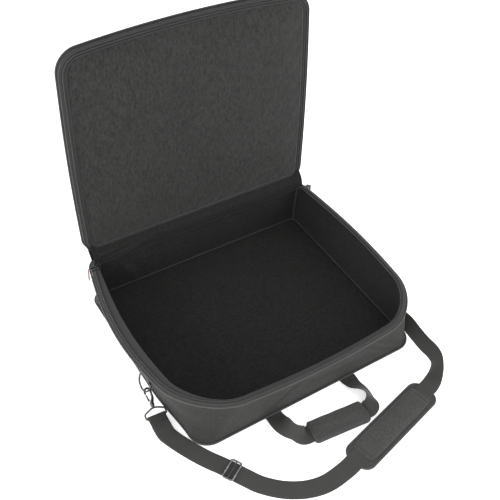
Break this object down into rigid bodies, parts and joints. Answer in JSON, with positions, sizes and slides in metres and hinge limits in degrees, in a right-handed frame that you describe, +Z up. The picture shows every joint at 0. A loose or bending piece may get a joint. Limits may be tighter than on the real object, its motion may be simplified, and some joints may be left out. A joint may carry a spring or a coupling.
{
  "type": "carry case",
  "caption": "Soft padded zip-around carry case shown open: shallow tray, fold-back lid, carrying loops with a padded grip and a clip-on shoulder strap.",
  "frame": {"origin": "middle of the tray's flat underside, on the ground", "axes": "+X along the hinge, to the right seen from the front; +Y towards the hinged back; +Z up"},
  "size_m": [0.6429, 0.7458, 0.6155],
  "materials": {
    "oxford_cloth": "black polyester oxford cloth, matt",
    "lining_cloth": "black smooth nylon lining",
    "brushed_lining": "charcoal brushed lining",
    "foam": "closed-cell padding foam behind cloth",
    "webbing": "black woven polypropylene webbing",
    "binding_tape": "black grosgrain binding tape and piping",
    "nylon_coil": "black nylon zip coil",
    "gunmetal": "black gunmetal plated zinc",
    "rubber_pull": "dull red-brown moulded zip pull"
  },
  "bodies": {
    "tray": {"base_bottom_panel": "oxford_cloth", "base_bottom_piping": "binding_tape", "base_corner_bind_left": "binding_tape", "base_corner_bind_right": "binding_tape", "base_floor_foam": "foam", "base_floor_lining": "lining_cloth", "base_floor_welt": "binding_tape", "base_foam_back": "foam", "base_foam_front": "foam", "base_foam_left": "foam", "base_foam_right": "foam", "base_rim_binding": "binding_tape", "base_rim_piping": "binding_tape", "base_wall_lining": "lining_cloth", "base_wall_outer": "oxford_cloth", "base_zip_coil": "nylon_coil", "base_zip_tape": "binding_tape", "d_ring_tab_left": "webbing", "d_ring_tab_right": "webbing", "handle_tab_left": "webbing", "handle_tab_right": "webbing", "hinge_gusset": "oxford_cloth", "shoulder_pad_base": "oxford_cloth", "shoulder_pad_top": "oxford_cloth", "strap_end_left": "webbing", "strap_end_right": "webbing", "strap_webbing": "webbing"},
    "lid": {"lid_edge_band": "oxford_cloth", "lid_foam": "foam", "lid_handle_tab_left": "webbing", "lid_handle_tab_right": "webbing", "lid_lining": "brushed_lining", "lid_lining_welt": "binding_tape", "lid_outer_panel": "oxford_cloth", "lid_piping": "binding_tape", "lid_zip_coil": "nylon_coil", "lid_zip_tape": "binding_tape"},
    "lid_handle": {"lid_handle_webbing": "webbing"},
    "front_handle": {"handle_webbing": "webbing", "grip_pad_lower": "oxford_cloth", "grip_pad_upper": "oxford_cloth", "grip_closing_flap": "binding_tape"},
    "zip_slider_left": {"zip_slider_left": "gunmetal"},
    "zip_pull_left": {"zip_pull_left": "rubber_pull"},
    "d_ring_left": {"d_ring_left": "gunmetal"},
    "hook_left": {"hook_left": "gunmetal", "hook_barrel_left": "gunmetal"},
    "hook_gate_left": {"hook_gate_left": "gunmetal"},
    "strap_eye_left": {"strap_eye_left": "gunmetal"},
    "zip_slider_right": {"zip_slider_right": "gunmetal"},
    "zip_pull_right": {"zip_pull_right": "rubber_pull"},
    "d_ring_right": {"d_ring_right": "gunmetal"},
    "hook_right": {"hook_right": "gunmetal", "hook_barrel_right": "gunmetal"},
    "hook_gate_right": {"hook_gate_right": "gunmetal"},
    "strap_eye_right": {"strap_eye_right": "gunmetal"},
    "tri_glide": {"tri_glide_frame": "gunmetal", "tri_glide_bar": "gunmetal"}
  },
  "joints": [
    {"name": "lid_hinge", "type": "hinge", "parent": "tray", "child": "lid", "pos_m": [0, 0.235, 0.1345], "axis": [-1, 0, 0], "range_deg": [-96.6, 64]},
    {"name": "lid_handle_swing", "type": "hinge", "parent": "lid", "child": "lid_handle", "pos_m": [0, 0.30069, 0.55171], "axis": [1, 0, 0], "range_deg": [0, 150]},
    {"name": "front_handle_swing", "type": "hinge", "parent": "tray", "child": "front_handle", "pos_m": [0, -0.2442, 0.0022], "axis": [-1, 0, 0], "range_deg": [0, 57]},
    {"name": "zip_slide_left", "type": "slide", "parent": "tray", "child": "zip_slider_left", "axis": [-0.2405, -0.9707, 0], "range_m": [0, 0.01]},
    {"name": "zip_pull_swing_left", "type": "hinge", "parent": "zip_slider_left", "child": "zip_pull_left", "pos_m": [-0.29548, 0.202, 0.129], "axis": [0, 1, 0], "range_deg": [0, 70]},
    {"name": "d_ring_swing_left", "type": "hinge", "parent": "tray", "child": "d_ring_left", "pos_m": [-0.29755, -0.064, 0.058], "axis": [0, 1, 0], "range_deg": [0, 1]},
    {"name": "hook_swing_left", "type": "hinge", "parent": "d_ring_left", "child": "hook_left", "pos_m": [-0.30425, -0.08156, 0.0396], "axis": [0.0414, -0.5178, 0.8545], "range_deg": [-0.8, 0.8]},
    {"name": "hook_gate_swing_left", "type": "hinge", "parent": "hook_left", "child": "hook_gate_left", "pos_m": [-0.31067, -0.0985, 0.02965], "axis": [0.0414, -0.5178, 0.8545], "range_deg": [-22, 0], "stiffness_Nm_per_rad": 0.02, "springref_deg": 2.86},
    {"name": "strap_eye_swivel_left", "type": "hinge", "parent": "hook_left", "child": "strap_eye_left", "pos_m": [-0.30629, -0.10977, 0.02261], "axis": [-0.0618, -0.8549, -0.515], "range_deg": [-2, 2]},
    {"name": "zip_slide_right", "type": "slide", "parent": "tray", "child": "zip_slider_right", "axis": [0.1044, -0.9945, 0], "range_m": [0, 0.01]},
    {"name": "zip_pull_swing_right", "type": "hinge", "parent": "zip_slider_right", "child": "zip_pull_right", "pos_m": [0.29092, 0.202, 0.129], "axis": [0, 1, 0], "range_deg": [-70, 0]},
    {"name": "d_ring_swing_right", "type": "hinge", "parent": "tray", "child": "d_ring_right", "pos_m": [0.28982, -0.064, 0.058], "axis": [0, 1, 0], "range_deg": [-0.5, 0]},
    {"name": "hook_swing_right", "type": "hinge", "parent": "d_ring_right", "child": "hook_right", "pos_m": [0.29548, -0.08306, 0.04246], "axis": [0.0293, -0.366, 0.9301], "range_deg": [-0.4, 0.4]},
    {"name": "hook_gate_swing_right", "type": "hinge", "parent": "hook_right", "child": "hook_gate_right", "pos_m": [0.29151, -0.10198, 0.03514], "axis": [0.0293, -0.366, 0.9301], "range_deg": [-22, 0], "stiffness_Nm_per_rad": 0.02, "springref_deg": 2.86},
    {"name": "strap_eye_swivel_right", "type": "hinge", "parent": "hook_right", "child": "strap_eye_right", "pos_m": [0.2975, -0.11369, 0.03034], "axis": [0.0612, -0.9281, -0.3672], "range_deg": [-0.8, 0.8]},
    {"name": "tri_glide_slide", "type": "slide", "parent": "tray", "child": "tri_glide", "axis": [0.5031, -0.8642, 0], "range_m": [-0.006, 0.006]}
  ]
}
